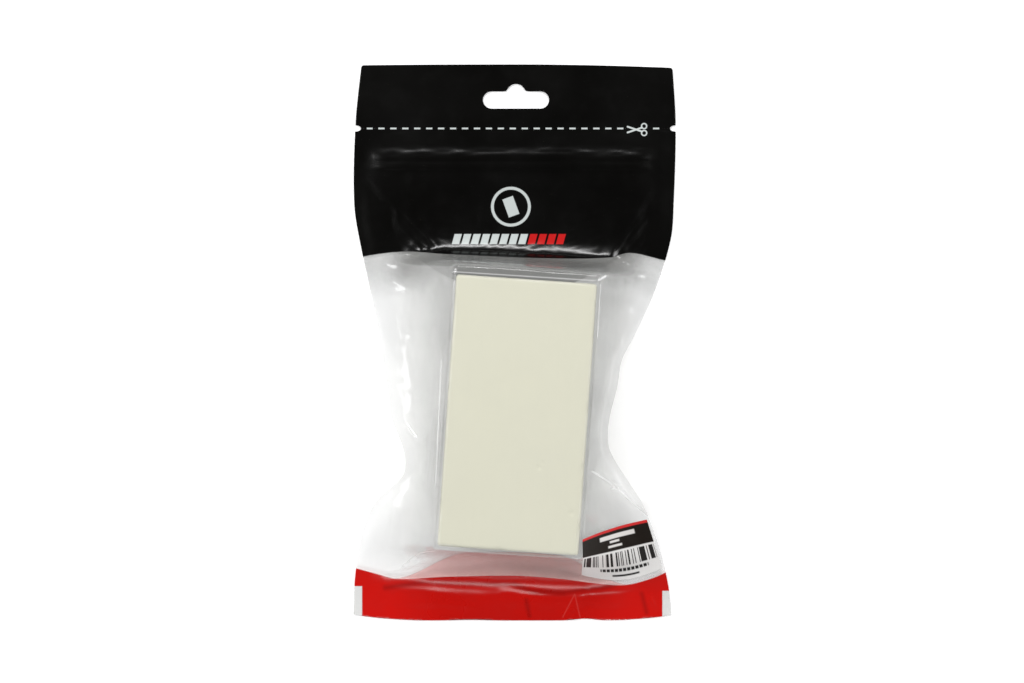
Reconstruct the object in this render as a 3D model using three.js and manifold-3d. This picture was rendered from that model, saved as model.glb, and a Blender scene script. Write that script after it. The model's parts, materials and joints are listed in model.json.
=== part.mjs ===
// A flat zip pouch of printed film, with a block of pressed chalk inside it.
// Millimetres. +X is the pouch's width, +Y runs from its foot to its hang hole, +Z is up from the
// surface it lies on. The origin is under the middle of the pouch, on that surface.
import * as THREE from "three";
import { mergeVertices } from "three/addons/utils/BufferGeometryUtils.js";
import Module from "manifold-3d";

const wasm = await Module();
wasm.setup();

// ---- driving dimensions ----
const POUCH_LENGTH = 250;
const POUCH_WIDTH = 145;
const FILM = 0.4;              // stands in for film of about 0.1 mm
const GAP = 0.3;               // left between pieces that touch
const TOP_EDGE_Y = POUCH_LENGTH / 2;
const FOOT_EDGE_Y = -POUCH_LENGTH / 2;
const FOOT_BOW = 2.5;          // how far the foot's corners stand above its flat middle
const FOOT_FLAT = 36;          // half the length of that flat middle
const FOOT_SEAL = 7;           // height of the welded strip along the foot
const SIDE_SEAL = 2.5;         // width of the welded strip along each side
const HEAD_BOW_LEFT = 0.4;      // how far the head's corners stand below its middle
const HEAD_BOW_RIGHT = 1.6;
const HEAD_CORNER = 2.6;
const TEAR_Y = 96.2;           // the perforation
const NOTCH_HALF = 1.4;        // the rounded tear notch at each end of the perforation
const NOTCH_DEPTH = 2.6;
const MOUTH_FOLD_Y = 38;       // where the front film starts to bend away when the mouth is open
const MOUTH_FOLD_Z = 34;
const MOUTH_FOLD_LEFT = -34;   // the two ends of the raised part of that fold
const MOUTH_FOLD_RIGHT = 36;

const BLOCK_WIDTH = 61.5;
const BLOCK_LENGTH = 118.5;
const BLOCK_DEPTH = 38;
const BLOCK_CORNER = 1.6;      // softened vertical edges
const BLOCK_CENTRE = new THREE.Vector2(1.2, -31.5);
const BLOCK_LEAN = THREE.MathUtils.degToRad(-4);
const BLOCK_TRAVEL = 4;        // free play along the block's own length
const BLOCK_CLEARANCE = 1.2;   // between the block's edges and the film's folds over them

const SEAM_LIFT = 11;          // how far the side seams rise where the film wraps the block
const SEAM_LIFT_Y = -48;
const SEAM_LIFT_REACH = 66;

const ZIP_LEFT = -66.8;
const ZIP_RIGHT = 64.2;
const ZIP_FOOT_Y = 77;
const ZIP_HEAD_Y = 88;
const ZIP_MARGIN = 0.7;         // of raised film around the strips
const ZIP_RIB_Y = 81;
const ZIP_FLANGE = 0.4;
const ZIP_RIB_HALF = 0.7;
const ZIP_RIB_DEPTH = 1.2;
const ZIP_CHANNEL_HALF = 1.1;
const ZIP_WALL = 0.8;
const ZIP_WALL_HEIGHT = 1.2;

const SLOT_CENTRE = new THREE.Vector2(0.7, 109);
const SLOT_WIDTH = 29.7;
const SLOT_HEIGHT = 7.7;
const SLOT_BUMP_RADIUS = 4.4;
const SLOT_BUMP_RISE = 3.1;    // of the bump's centre above the slot's centre line

const LABEL = 0.2;
const LABEL_OUTLINE = [[29.4, -85.5], [59, -79], [67, -102], [49, -108.5], [29.8, -104.5]];

// The pouch's side edges, as (y, x) from head to foot. Between these the edge is a smooth curve.
const LEFT_EDGE = [
  [125, -68.8], [98, -71.5], [62, -72], [40, -68.4], [10, -62], [-20, -56.6], [-34, -54.6],
  [-46, -50], [-53, -48.6], [-60, -50.2], [-71, -61.8], [-86, -68.3], [-105, -71.6], [-125, -72.5],
];
const RIGHT_EDGE = [
  [125, 71], [98, 72.5], [62, 71.6], [46, 70.2], [22, 62.7], [2, 53.4], [-8, 48.2], [-20, 46],
  [-32, 42.8], [-41, 41.6], [-49, 42.9], [-63, 51.5], [-72, 57.2], [-92, 65], [-110, 69.3],
  [-125, 70.9],
];

// ---- heights above the surface ----
const SEAM_Z = FILM + GAP / 2;                   // the mid-plane between the two films at a weld
const BLOCK_BASE_Z = FILM + GAP;
const BLOCK_TOP_Z = BLOCK_BASE_Z + BLOCK_DEPTH;
const FILM_OVER_BLOCK_Z = BLOCK_TOP_Z + GAP + 0.2;
const GROOVE_BASE_Z = FILM + GAP;
const RIB_FLANGE_Z = GROOVE_BASE_Z + ZIP_FLANGE + ZIP_WALL_HEIGHT + GAP;
const FILM_OVER_ZIP_Z = RIB_FLANGE_Z + ZIP_FLANGE + GAP;

// ---- outline ----
// A smooth curve through the points, whose slope at each one is that between its neighbours.
function edgeAt(points, y) {
  let i = 0;
  while (i < points.length - 2 && y < points[i + 1][0]) i += 1;
  const slope = (k) => {
    const before = points[Math.max(k - 1, 0)];
    const after = points[Math.min(k + 1, points.length - 1)];
    return (after[1] - before[1]) / (after[0] - before[0]);
  };
  const [y0, x0] = points[i];
  const [y1, x1] = points[i + 1];
  const span = y1 - y0;
  const t = THREE.MathUtils.clamp((y - y0) / span, 0, 1);
  const a = 2 * t ** 3 - 3 * t ** 2 + 1;
  const b = t ** 3 - 2 * t ** 2 + t;
  const c = -2 * t ** 3 + 3 * t ** 2;
  const d = t ** 3 - t ** 2;
  return a * x0 + b * span * slope(i) + c * x1 + d * span * slope(i + 1);
}

function notchAt(y) {
  const away = Math.abs(y - TEAR_Y) / NOTCH_HALF;
  return away < 1 ? NOTCH_DEPTH * Math.sqrt(1 - away ** 2) : 0;
}

// The foot is straight in the middle and curves up towards its corners.
function footAt(x) {
  const beyond = Math.max(Math.abs(x) - FOOT_FLAT, 0) / (POUCH_WIDTH / 2 - FOOT_FLAT);
  return FOOT_EDGE_Y + FOOT_BOW * beyond ** 2;
}

const leftAt = (y) => edgeAt(LEFT_EDGE, y) + notchAt(y);
const rightAt = (y) => edgeAt(RIGHT_EDGE, y) - notchAt(y);

function seamLiftAt(y) {
  const t = (y - SEAM_LIFT_Y) / SEAM_LIFT_REACH;
  return Math.abs(t) < 1 ? SEAM_LIFT * Math.cos((Math.PI / 2) * t) ** 2 : 0;
}

// ---- solids ----
function toSolid(geometry) {
  const bare = geometry.clone();
  bare.deleteAttribute("normal");
  bare.deleteAttribute("uv");
  const merged = mergeVertices(bare, 1e-4);
  return new wasm.Manifold(new wasm.Mesh({
    numProp: 3,
    vertProperties: new Float32Array(merged.attributes.position.array),
    triVerts: new Uint32Array(merged.index.array),
  }));
}

function toGeometry(solid) {
  const mesh = solid.getMesh();
  const geometry = new THREE.BufferGeometry();
  geometry.setAttribute("position", new THREE.BufferAttribute(mesh.vertProperties, 3));
  geometry.setIndex(new THREE.BufferAttribute(mesh.triVerts, 1));
  return geometry;
}

// A sheet whose middle surface is a grid of points, given thickness along its own normals.
// low and high are the distances of its two faces from the grid.
function sheet(grid, low, high) {
  const rows = grid.length;
  const columns = grid[0].length;
  const within = (k, count) => THREE.MathUtils.clamp(k, 0, count - 1);
  const at = (i, j) => grid[within(i, rows)][within(j, columns)];
  const positions = [];
  for (const distance of [low, high]) {
    for (let i = 0; i < rows; i += 1) {
      for (let j = 0; j < columns; j += 1) {
        const across = at(i, j + 1).clone().sub(at(i, j - 1));
        const along = at(i + 1, j).clone().sub(at(i - 1, j));
        const normal = across.cross(along).normalize();
        positions.push(...at(i, j).clone().addScaledVector(normal, distance).toArray());
      }
    }
  }
  const under = (i, j) => i * columns + j;
  const over = (i, j) => rows * columns + i * columns + j;
  const index = [];
  const quad = (a, b, c, d) => index.push(a, b, c, a, c, d);
  for (let i = 0; i < rows - 1; i += 1) {
    for (let j = 0; j < columns - 1; j += 1) {
      quad(over(i, j), over(i, j + 1), over(i + 1, j + 1), over(i + 1, j));
      quad(under(i, j), under(i + 1, j), under(i + 1, j + 1), under(i, j + 1));
    }
    quad(under(i, 0), over(i, 0), over(i + 1, 0), under(i + 1, 0));
    quad(under(i, columns - 1), under(i + 1, columns - 1), over(i + 1, columns - 1), over(i, columns - 1));
  }
  for (let j = 0; j < columns - 1; j += 1) {
    quad(under(0, j), under(0, j + 1), over(0, j + 1), over(0, j));
    quad(under(rows - 1, j), over(rows - 1, j), over(rows - 1, j + 1), under(rows - 1, j + 1));
  }
  const geometry = new THREE.BufferGeometry();
  geometry.setAttribute("position", new THREE.Float32BufferAttribute(positions, 3));
  geometry.setIndex(index);
  return geometry;
}

// ---- the pouch's surfaces ----
function blockCorner(side, end) {
  const half = BLOCK_WIDTH / 2 + BLOCK_CLEARANCE;
  const reach = BLOCK_LENGTH / 2 + BLOCK_CLEARANCE + (end > 0 ? BLOCK_TRAVEL : 0);
  return new THREE.Vector2(side * half, end * reach).rotateAround(new THREE.Vector2(), BLOCK_LEAN)
    .add(BLOCK_CENTRE);
}

// One cross row of a film: its two middle folds, each at its own x, y and height.
const row = (left, right, z) => ({ left, right, z });
const level = (y, xLeft, xRight, z) => row(new THREE.Vector2(xLeft, y), new THREE.Vector2(xRight, y), z);
const blockRow = (end, z) => row(blockCorner(-1, end), blockCorner(1, end), z);

const foldRows = (overBlock, atFold, atZip, atSeam) => [
  level(FOOT_EDGE_Y, -FOOT_FLAT, FOOT_FLAT, atSeam),
  level(FOOT_EDGE_Y + FOOT_SEAL, -FOOT_FLAT, FOOT_FLAT, atSeam),
  blockRow(-1, overBlock),
  blockRow(1, overBlock),
  level(MOUTH_FOLD_Y, MOUTH_FOLD_LEFT, MOUTH_FOLD_RIGHT, atFold),
  level(ZIP_FOOT_Y - ZIP_MARGIN, ZIP_LEFT - ZIP_MARGIN, ZIP_RIGHT + ZIP_MARGIN, atZip),
  level(ZIP_HEAD_Y + ZIP_MARGIN, ZIP_LEFT - ZIP_MARGIN, ZIP_RIGHT + ZIP_MARGIN, atZip),
  level(TEAR_Y - NOTCH_HALF, ZIP_LEFT + 2 * NOTCH_DEPTH, ZIP_RIGHT - 2 * NOTCH_DEPTH, atSeam),
  level(TEAR_Y - GAP / 2, ZIP_LEFT + 2 * NOTCH_DEPTH, ZIP_RIGHT - 2 * NOTCH_DEPTH, atSeam),
];
const ROW_STEPS = [2, 4, 8, 2, 4, 2, 2, 4];
const FOLD_ROW = ROW_STEPS.slice(0, 4).reduce((sum, steps) => sum + steps, 0);

// Fills a film between its key rows. Each row runs from the left edge over the weld and the two
// folds to the right edge. seam is the height of the film at the welds before the seam's own lift.
function filmGrid(keyRows, seam) {
  const grid = [];
  const addRow = (left, right, z) => {
    const yLeft = left.y;
    const yRight = right.y;
    const point = (x, y, height) => new THREE.Vector3(x, Math.max(y, footAt(x)), height);
    const seamLeft = seam + seamLiftAt(yLeft);
    const seamRight = seam + seamLiftAt(yRight);
    const key = [
      point(leftAt(yLeft), yLeft, seamLeft),
      point(leftAt(yLeft) + SIDE_SEAL, yLeft, seamLeft),
      point(left.x, yLeft, z),
      point(right.x, yRight, z),
      point(rightAt(yRight) - SIDE_SEAL, yRight, seamRight),
      point(rightAt(yRight), yRight, seamRight),
    ];
    const steps = [1, 3, 4, 3, 1];
    const points = [key[0]];
    steps.forEach((count, k) => {
      for (let s = 1; s <= count; s += 1) points.push(key[k].clone().lerp(key[k + 1], s / count));
    });
    grid.push(points);
  };
  addRow(keyRows[0].left, keyRows[0].right, keyRows[0].z);
  for (let k = 0; k < keyRows.length - 1; k += 1) {
    for (let s = 1; s <= ROW_STEPS[k]; s += 1) {
      const t = s / ROW_STEPS[k];
      const [a, b] = [keyRows[k], keyRows[k + 1]];
      const left = a.left.clone().lerp(b.left, t);
      const right = a.right.clone().lerp(b.right, t);
      addRow(left, right, THREE.MathUtils.lerp(a.z, b.z, t));
    }
  }
  return grid;
}

// The same grid with one of its rows shifted along Y.
const moved = (grid, dy, onlyRow) => grid.map((points, i) => (
  i === onlyRow ? points.map((p) => p.clone().add(new THREE.Vector3(0, dy, 0))) : points));

const FRONT_SEAM_Z = SEAM_Z + GAP / 2;
const frontRows = foldRows(FILM_OVER_BLOCK_Z, MOUTH_FOLD_Z, FILM_OVER_ZIP_Z, FRONT_SEAM_Z);
const frontGrid = filmGrid(frontRows, FRONT_SEAM_Z);
const backGrid = filmGrid(foldRows(FILM, FILM, FILM, FILM), SEAM_Z - GAP / 2);
const windowGrid = moved(frontGrid.slice(0, FOLD_ROW + 1), -GAP / 2, FOLD_ROW);
const mouthGrid = moved(frontGrid.slice(FOLD_ROW), GAP / 2, 0);

// ---- pieces ----
// Both edges of the head from the perforation up, closed by a bowed top with rounded corners.
function headerFilm(z) {
  const foot = TEAR_Y + GAP / 2;
  const neck = TEAR_Y + NOTCH_HALF;
  const shoulder = TOP_EDGE_Y - HEAD_CORNER;
  const steps = 10;
  const heights = [];
  for (let i = 0; i <= steps; i += 1) heights.push(THREE.MathUtils.lerp(foot, neck, i / steps));
  for (let i = 1; i <= steps; i += 1) heights.push(THREE.MathUtils.lerp(neck, shoulder, i / steps));
  const halfWidth = POUCH_WIDTH / 2;
  const topAt = (x) => TOP_EDGE_Y - (x < 0 ? HEAD_BOW_LEFT : HEAD_BOW_RIGHT) * (x / halfWidth) ** 2;
  const left = leftAt(TOP_EDGE_Y);
  const right = rightAt(TOP_EDGE_Y);
  const outline = new THREE.Shape(heights.map((y) => new THREE.Vector2(leftAt(y), y)));
  outline.quadraticCurveTo(left, topAt(left), left + HEAD_CORNER, topAt(left + HEAD_CORNER));
  for (let i = 1; i <= steps; i += 1) {
    const x = THREE.MathUtils.lerp(left + HEAD_CORNER, right - HEAD_CORNER, i / steps);
    outline.lineTo(x, topAt(x));
  }
  outline.quadraticCurveTo(right, topAt(right), rightAt(shoulder), shoulder);
  heights.reverse().slice(1).forEach((y) => outline.lineTo(rightAt(y), y));
  outline.closePath();
  outline.holes.push(hangSlot());
  const geometry = new THREE.ExtrudeGeometry(outline, { depth: FILM, bevelEnabled: false, curveSegments: 8 });
  geometry.translate(0, 0, z);
  return geometry;
}

// A flat slot with round ends and a round bump above its middle.
function hangSlot() {
  const { x, y } = SLOT_CENTRE;
  const half = SLOT_HEIGHT / 2;
  const straight = SLOT_WIDTH / 2 - half;
  const meet = Math.asin((half - SLOT_BUMP_RISE) / SLOT_BUMP_RADIUS);
  const slot = new THREE.Path();
  slot.moveTo(x - straight, y - half);
  slot.lineTo(x + straight, y - half);
  slot.absarc(x + straight, y, half, -Math.PI / 2, Math.PI / 2, false);
  slot.absarc(x, y + SLOT_BUMP_RISE, SLOT_BUMP_RADIUS, meet, Math.PI - meet, false);
  slot.lineTo(x - straight, y + half);
  slot.absarc(x - straight, y, half, Math.PI / 2, 1.5 * Math.PI, false);
  return slot;
}

// Extrudes a (y, z) profile along X for the length of the zip.
function alongZip(profile) {
  const shape = new THREE.Shape(profile.map(([y, z]) => new THREE.Vector2(y, z)));
  const geometry = new THREE.ExtrudeGeometry(shape, { depth: ZIP_RIGHT - ZIP_LEFT, bevelEnabled: false });
  const turn = new THREE.Matrix4().makeBasis(
    new THREE.Vector3(0, 1, 0), new THREE.Vector3(0, 0, 1), new THREE.Vector3(1, 0, 0));
  geometry.applyMatrix4(turn);
  geometry.translate(ZIP_LEFT, 0, 0);
  return geometry;
}

function zipGrooveStrip() {
  const floor = GROOVE_BASE_Z + ZIP_FLANGE;
  const top = floor + ZIP_WALL_HEIGHT;
  const inner = ZIP_CHANNEL_HALF;
  const outer = ZIP_CHANNEL_HALF + ZIP_WALL;
  return alongZip([
    [ZIP_FOOT_Y, GROOVE_BASE_Z], [ZIP_HEAD_Y, GROOVE_BASE_Z], [ZIP_HEAD_Y, floor],
    [ZIP_RIB_Y + outer, floor], [ZIP_RIB_Y + outer, top], [ZIP_RIB_Y + inner, top],
    [ZIP_RIB_Y + inner, floor], [ZIP_RIB_Y - inner, floor], [ZIP_RIB_Y - inner, top],
    [ZIP_RIB_Y - outer, top], [ZIP_RIB_Y - outer, floor], [ZIP_FOOT_Y, floor],
  ]);
}

function zipRibStrip() {
  const top = RIB_FLANGE_Z + ZIP_FLANGE;
  const tip = RIB_FLANGE_Z - ZIP_RIB_DEPTH;
  return alongZip([
    [ZIP_FOOT_Y, RIB_FLANGE_Z], [ZIP_RIB_Y - ZIP_RIB_HALF, RIB_FLANGE_Z], [ZIP_RIB_Y - ZIP_RIB_HALF, tip],
    [ZIP_RIB_Y + ZIP_RIB_HALF, tip], [ZIP_RIB_Y + ZIP_RIB_HALF, RIB_FLANGE_Z], [ZIP_HEAD_Y, RIB_FLANGE_Z],
    [ZIP_HEAD_Y, top], [ZIP_FOOT_Y, top],
  ]);
}

function chalkBlock() {
  const [w, l, r] = [BLOCK_WIDTH / 2, BLOCK_LENGTH / 2, BLOCK_CORNER];
  const outline = new THREE.Shape();
  outline.moveTo(-w + r, -l);
  outline.lineTo(w - r, -l);
  outline.absarc(w - r, -l + r, r, -Math.PI / 2, 0, false);
  outline.lineTo(w, l - r);
  outline.absarc(w - r, l - r, r, 0, Math.PI / 2, false);
  outline.lineTo(-w + r, l);
  outline.absarc(-w + r, l - r, r, Math.PI / 2, Math.PI, false);
  outline.lineTo(-w, -l + r);
  outline.absarc(-w + r, -l + r, r, Math.PI, 1.5 * Math.PI, false);
  return new THREE.ExtrudeGeometry(outline, { depth: BLOCK_DEPTH, bevelEnabled: false, curveSegments: 4 });
}

// A paper label that follows the film under it.
function label() {
  const skin = toSolid(sheet(windowGrid, FILM + GAP, FILM + GAP + LABEL));
  const outline = new THREE.Shape(LABEL_OUTLINE.map(([x, y]) => new THREE.Vector2(x, y)));
  const cutter = toSolid(new THREE.ExtrudeGeometry(outline, { depth: 2 * BLOCK_TOP_Z, bevelEnabled: false }));
  return toGeometry(skin.intersect(cutter));
}

// ---- the assembly ----
const FINISH = {
  blackFilm: { color: 0x0d0d0c, roughness: 0.22, metalness: 0 },
  clearFilm: { color: 0xe4e6e4, roughness: 0.12, metalness: 0, transparent: true, opacity: 0.4 },
  zipPlastic: { color: 0x1c1c1b, roughness: 0.35, metalness: 0 },
  chalk: { color: 0xe2e0ca, roughness: 0.95, metalness: 0 },
  labelPaper: { color: 0x33281e, roughness: 0.5, metalness: 0 },
};

const pouch = new THREE.Group();
function add(name, geometry, finish) {
  const mesh = new THREE.Mesh(geometry, new THREE.MeshStandardMaterial(FINISH[finish]));
  mesh.name = name;
  pouch.add(mesh);
  return mesh;
}

add("back_film", sheet(backGrid, -FILM, 0), "clearFilm");
add("front_window_film", sheet(windowGrid, 0, FILM), "clearFilm");
add("front_mouth_film", sheet(mouthGrid, 0, FILM), "blackFilm");
add("zip_groove_strip", zipGrooveStrip(), "zipPlastic");
add("zip_rib_strip", zipRibStrip(), "zipPlastic");
add("header_back_film", headerFilm(0), "blackFilm");
add("header_front_film", headerFilm(FILM + GAP), "blackFilm");
add("price_label", label(), "labelPaper");
const block = add("chalk_block", chalkBlock(), "chalk");
block.position.set(BLOCK_CENTRE.x, BLOCK_CENTRE.y, BLOCK_BASE_Z);
block.rotation.z = BLOCK_LEAN;

export default pouch;
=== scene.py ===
"""A zip pouch of printed film lying on its back, with a block of pressed chalk inside it.

Every shape is worked out in millimetres, as numpy arrays, and put into its mesh in metres. +X is
the pouch's width, +Y runs from its foot to its hang slot and +Z is up, out of its printed front.
"""

import json
import math

import bpy
import numpy as np
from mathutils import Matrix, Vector


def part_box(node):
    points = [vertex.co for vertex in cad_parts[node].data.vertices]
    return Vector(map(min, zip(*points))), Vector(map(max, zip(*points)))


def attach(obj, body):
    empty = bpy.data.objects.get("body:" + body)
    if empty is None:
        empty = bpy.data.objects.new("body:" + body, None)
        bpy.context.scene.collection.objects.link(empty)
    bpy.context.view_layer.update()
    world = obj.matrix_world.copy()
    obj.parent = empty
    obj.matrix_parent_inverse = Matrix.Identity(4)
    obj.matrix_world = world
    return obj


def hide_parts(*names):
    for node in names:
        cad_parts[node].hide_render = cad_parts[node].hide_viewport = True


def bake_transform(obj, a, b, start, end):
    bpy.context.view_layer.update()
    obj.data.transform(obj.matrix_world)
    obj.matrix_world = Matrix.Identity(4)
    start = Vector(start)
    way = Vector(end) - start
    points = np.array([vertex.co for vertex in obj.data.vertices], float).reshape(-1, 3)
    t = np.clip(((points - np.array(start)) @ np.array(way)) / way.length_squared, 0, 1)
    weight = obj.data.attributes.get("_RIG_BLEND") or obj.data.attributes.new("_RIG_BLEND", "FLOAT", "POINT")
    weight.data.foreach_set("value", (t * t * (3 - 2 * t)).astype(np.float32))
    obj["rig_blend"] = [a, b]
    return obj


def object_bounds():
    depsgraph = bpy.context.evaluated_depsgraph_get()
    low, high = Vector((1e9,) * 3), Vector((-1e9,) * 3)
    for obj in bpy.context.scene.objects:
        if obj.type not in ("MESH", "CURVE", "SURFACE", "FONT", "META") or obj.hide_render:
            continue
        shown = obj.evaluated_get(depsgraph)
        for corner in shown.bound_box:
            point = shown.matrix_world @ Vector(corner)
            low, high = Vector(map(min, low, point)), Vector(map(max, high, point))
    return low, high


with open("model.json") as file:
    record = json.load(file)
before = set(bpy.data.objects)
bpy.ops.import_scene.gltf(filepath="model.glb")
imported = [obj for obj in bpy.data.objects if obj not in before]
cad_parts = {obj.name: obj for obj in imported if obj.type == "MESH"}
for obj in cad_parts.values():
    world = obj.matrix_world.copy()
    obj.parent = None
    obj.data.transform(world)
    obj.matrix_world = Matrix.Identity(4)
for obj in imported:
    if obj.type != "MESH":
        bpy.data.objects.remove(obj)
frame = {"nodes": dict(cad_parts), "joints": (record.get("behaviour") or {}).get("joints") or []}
cad_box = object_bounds()

MM = 0.001
low, high = (np.array(corner) / MM for corner in cad_box)


def node_box(name):
    """A CAD node's lowest and highest corners, in millimetres."""
    return [np.array(corner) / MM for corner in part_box(name)]


def points_of(piece):
    """A piece's points, in millimetres."""
    flat = np.zeros(len(piece.data.vertices) * 3)
    piece.data.vertices.foreach_get("co", flat)
    return flat.reshape(-1, 3) / MM


# ---- places taken from the frame ----
FOOT_Y, HEAD_Y = low[1], high[1]
HALF_WIDTH = high[0]
TEAR_Y = (node_box("header_front_film")[0][1] + node_box("front_mouth_film")[1][1]) / 2
MOUTH_FOLD_Y = node_box("front_mouth_film")[0][1]
ZIP_LOW, ZIP_HIGH = node_box("zip_rib_strip")
BLOCK_BASE, BLOCK_TOP = (corner[2] for corner in node_box("chalk_block"))
BLOCK_CENTRE = sum(node_box("chalk_block"))[:2] / 2
BLOCK_SHIFT = next(joint for joint in frame["joints"] if joint["name"] == "block_shift")
LENGTHWISE = np.array(BLOCK_SHIFT["axis"][:2])
CROSSWISE = np.array([LENGTHWISE[1], -LENGTHWISE[0]])
BLOCK_TRAVEL = BLOCK_SHIFT["range_m"][1] / MM
_from_centre = points_of(frame["nodes"]["chalk_block"])[:, :2] - BLOCK_CENTRE
BLOCK_HALF = np.array([(_from_centre @ CROSSWISE).max(), (_from_centre @ LENGTHWISE).max()])

# ---- the pouch's own sizes ----
FILM = 0.12
WELD = 0.16  # height of a film's middle above the other film's, where they are welded
SIDE_SEAL = 2.5
FOOT_SEAL = 7.0
FOOT_BOW, FOOT_FLAT = 2.5, 36.0
HEAD_BOW_LEFT, HEAD_BOW_RIGHT, HEAD_CORNER = 0.4, 1.6, 0.9
NOTCH_HALF, NOTCH_DEPTH = 1.4, 2.6
SEAM_LIFT, SEAM_LIFT_Y, SEAM_LIFT_REACH = 11.0, -48.0, 66.0
FOLD_MARGIN = 1.2  # from the block's edges to the film's folds
OVER_BLOCK = 0.45  # from the block's face to the film
OVER_ZIP = 0.2
ZIP_BASE = 0.3
# The closed zip's top as (y, z): highest over its rib, thinning to both edges.
ZIP_SECTION = [(77, 0.95), (79.2, 1.45), (82.8, 1.45), (88, 0.8)]
ZIP_CRUSH = 10.0  # length over which each end is crushed flat by the side seal
SLOT_CENTRE = np.array([0.7, 109.0])
SLOT_HALF_WIDTH, SLOT_HALF_HEIGHT = 14.85, 3.85
SLOT_BUMP_RADIUS, SLOT_BUMP_RISE = 4.2, 3.0

# The side edges as (y, x), from foot to head, joined by a smooth curve.
LEFT_EDGE = [
    (-125, -72.5), (-105, -71.6), (-86, -68.3), (-71, -61.8), (-60, -50.2), (-53, -48.6),
    (-46, -50), (-34, -54.6), (-20, -56.6), (10, -62), (40, -68.4), (62, -72), (98, -71.5),
    (125, -68.8),
]  # fmt: skip
RIGHT_EDGE = [
    (-125, 70.9), (-110, 69.3), (-92, 65), (-72, 57.2), (-63, 51.5), (-49, 42.9), (-41, 41.6),
    (-32, 42.8), (-20, 46), (-8, 48.2), (2, 53.4), (22, 62.7), (46, 70.2), (62, 71.6), (98, 72.5),
    (125, 71),
]  # fmt: skip
# The printed zones' borders as (x, y), from left to right.
BLACK_BORDER = [
    (-73, 36.5), (-67, 38.8), (-49, 40.8), (-30, 39.3), (12, 37.5), (42, 37.9), (52, 40.2), (68, 36.8),
    (73, 36),
]  # fmt: skip
RED_BORDER = [
    (-73, -101), (-62, -104), (-53, -106.2), (-30, -105), (0, -104.4), (20, -105.8), (38, -108.3),
    (50, -109), (62, -106), (72, -101.5),
]  # fmt: skip
# How much nearer the window's middle the back film's borders lie, across the block's width.
BACK_BLACK_SAG, BACK_RED_SAG = 12.0, 10.0


# ---- arrays ----
def smooth_curve(points, at):
    """The cubic through the points whose slope at each one is that between its neighbours."""
    t, value = np.array(points, float).T
    slope = np.gradient(value)
    slope[1:-1] = (value[2:] - value[:-2]) / (t[2:] - t[:-2])
    slope[0] = (value[1] - value[0]) / (t[1] - t[0])
    slope[-1] = (value[-1] - value[-2]) / (t[-1] - t[-2])
    i = np.clip(np.searchsorted(t, at) - 1, 0, len(t) - 2)
    span = t[i + 1] - t[i]
    s = np.clip((at - t[i]) / span, 0, 1)
    return (
        (2 * s**3 - 3 * s**2 + 1) * value[i]
        + (s**3 - 2 * s**2 + s) * span * slope[i]
        + (3 * s**2 - 2 * s**3) * value[i + 1]
        + (s**3 - s**2) * span * slope[i + 1]
    )


def smoothstep(low_end, high_end, value):
    """0 up to the low end, 1 from the high end, and 3t^2 - 2t^3 between."""
    t = np.clip((value - low_end) / (high_end - low_end), 0, 1)
    return t * t * (3 - 2 * t)


def bump(value, centre, width):
    """A bell: 1 at the centre, falling as a Gaussian of that width."""
    return np.exp(-(((value - centre) / width) ** 2))


def noise(x, y, scale, seed):
    """Smooth value noise from -1 to 1: random numbers on a lattice of that pitch, joined smoothly."""
    table = np.random.default_rng(seed).uniform(-1, 1, (97, 97))
    u, v = x / scale + 40.3, y / scale + 41.7
    i, j = np.floor(u).astype(int), np.floor(v).astype(int)
    s, t = u - i, v - j
    s, t = s * s * (3 - 2 * s), t * t * (3 - 2 * t)
    at = lambda a, b: table[a % 97, b % 97]
    near = at(i, j) * (1 - s) + at(i + 1, j) * s
    far = at(i, j + 1) * (1 - s) + at(i + 1, j + 1) * s
    return near * (1 - t) + far * t


def crease(x, y, start, end, width, height):
    """A ridge along the line from start to end, round in section, that dies out at both ends."""
    (x0, y0), (x1, y1) = start, end
    dx, dy = x1 - x0, y1 - y0
    length = math.hypot(dx, dy)
    along = ((x - x0) * dx + (y - y0) * dy) / length**2
    across = ((x - x0) * dy - (y - y0) * dx) / length
    fade = np.sin(np.pi * np.clip(along, 0, 1)) ** 0.7
    return height * fade / (1 + (across / width) ** 2) ** 1.5


def left_at(y):
    """The left side's edge: its smooth curve, cut into by the notch."""
    return smooth_curve(LEFT_EDGE, y) + notch_at(y)


def right_at(y):
    return smooth_curve(RIGHT_EDGE, y) - notch_at(y)


def notch_at(y):
    """Depth of the elliptical tear notch at each end of the perforation."""
    return NOTCH_DEPTH * np.sqrt(np.clip(1 - ((y - TEAR_Y) / NOTCH_HALF) ** 2, 0, 1))


def foot_at(x):
    """The foot is straight in the middle and curves up towards its corners."""
    beyond = np.clip(np.abs(x) - FOOT_FLAT, 0, None) / (HALF_WIDTH - FOOT_FLAT)
    return FOOT_Y + FOOT_BOW * beyond**2 + 0.8 * bump(x, 32, 6) + 0.3 * bump(x, -20, 9)


def seam_lift_at(y):
    """How far the side seams rise beside the block: a squared cosine."""
    t = np.clip((y - SEAM_LIFT_Y) / SEAM_LIFT_REACH, -1, 1)
    return SEAM_LIFT * np.cos(np.pi / 2 * t) ** 2


# ---- meshes ----
def add_object(name, data):
    piece = bpy.data.objects.new(name, data)
    bpy.context.scene.collection.objects.link(piece)
    return piece


def add_mesh(name, points, faces, uv=None):
    """A smooth-shaded mesh from points in millimetres and an array of faces."""
    mesh = bpy.data.meshes.new(name)
    mesh.from_pydata((points * MM).tolist(), [], faces.tolist())
    mesh.polygons.foreach_set("use_smooth", np.ones(len(mesh.polygons), bool))
    if uv is not None:
        corners = np.zeros(len(mesh.loops), np.int32)
        mesh.loops.foreach_get("vertex_index", corners)
        layer = mesh.uv_layers.new(name="Print")
        layer.data.foreach_set("uv", uv[corners].astype(np.float32).ravel())
    mesh.validate()
    return add_object(name, mesh)


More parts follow.
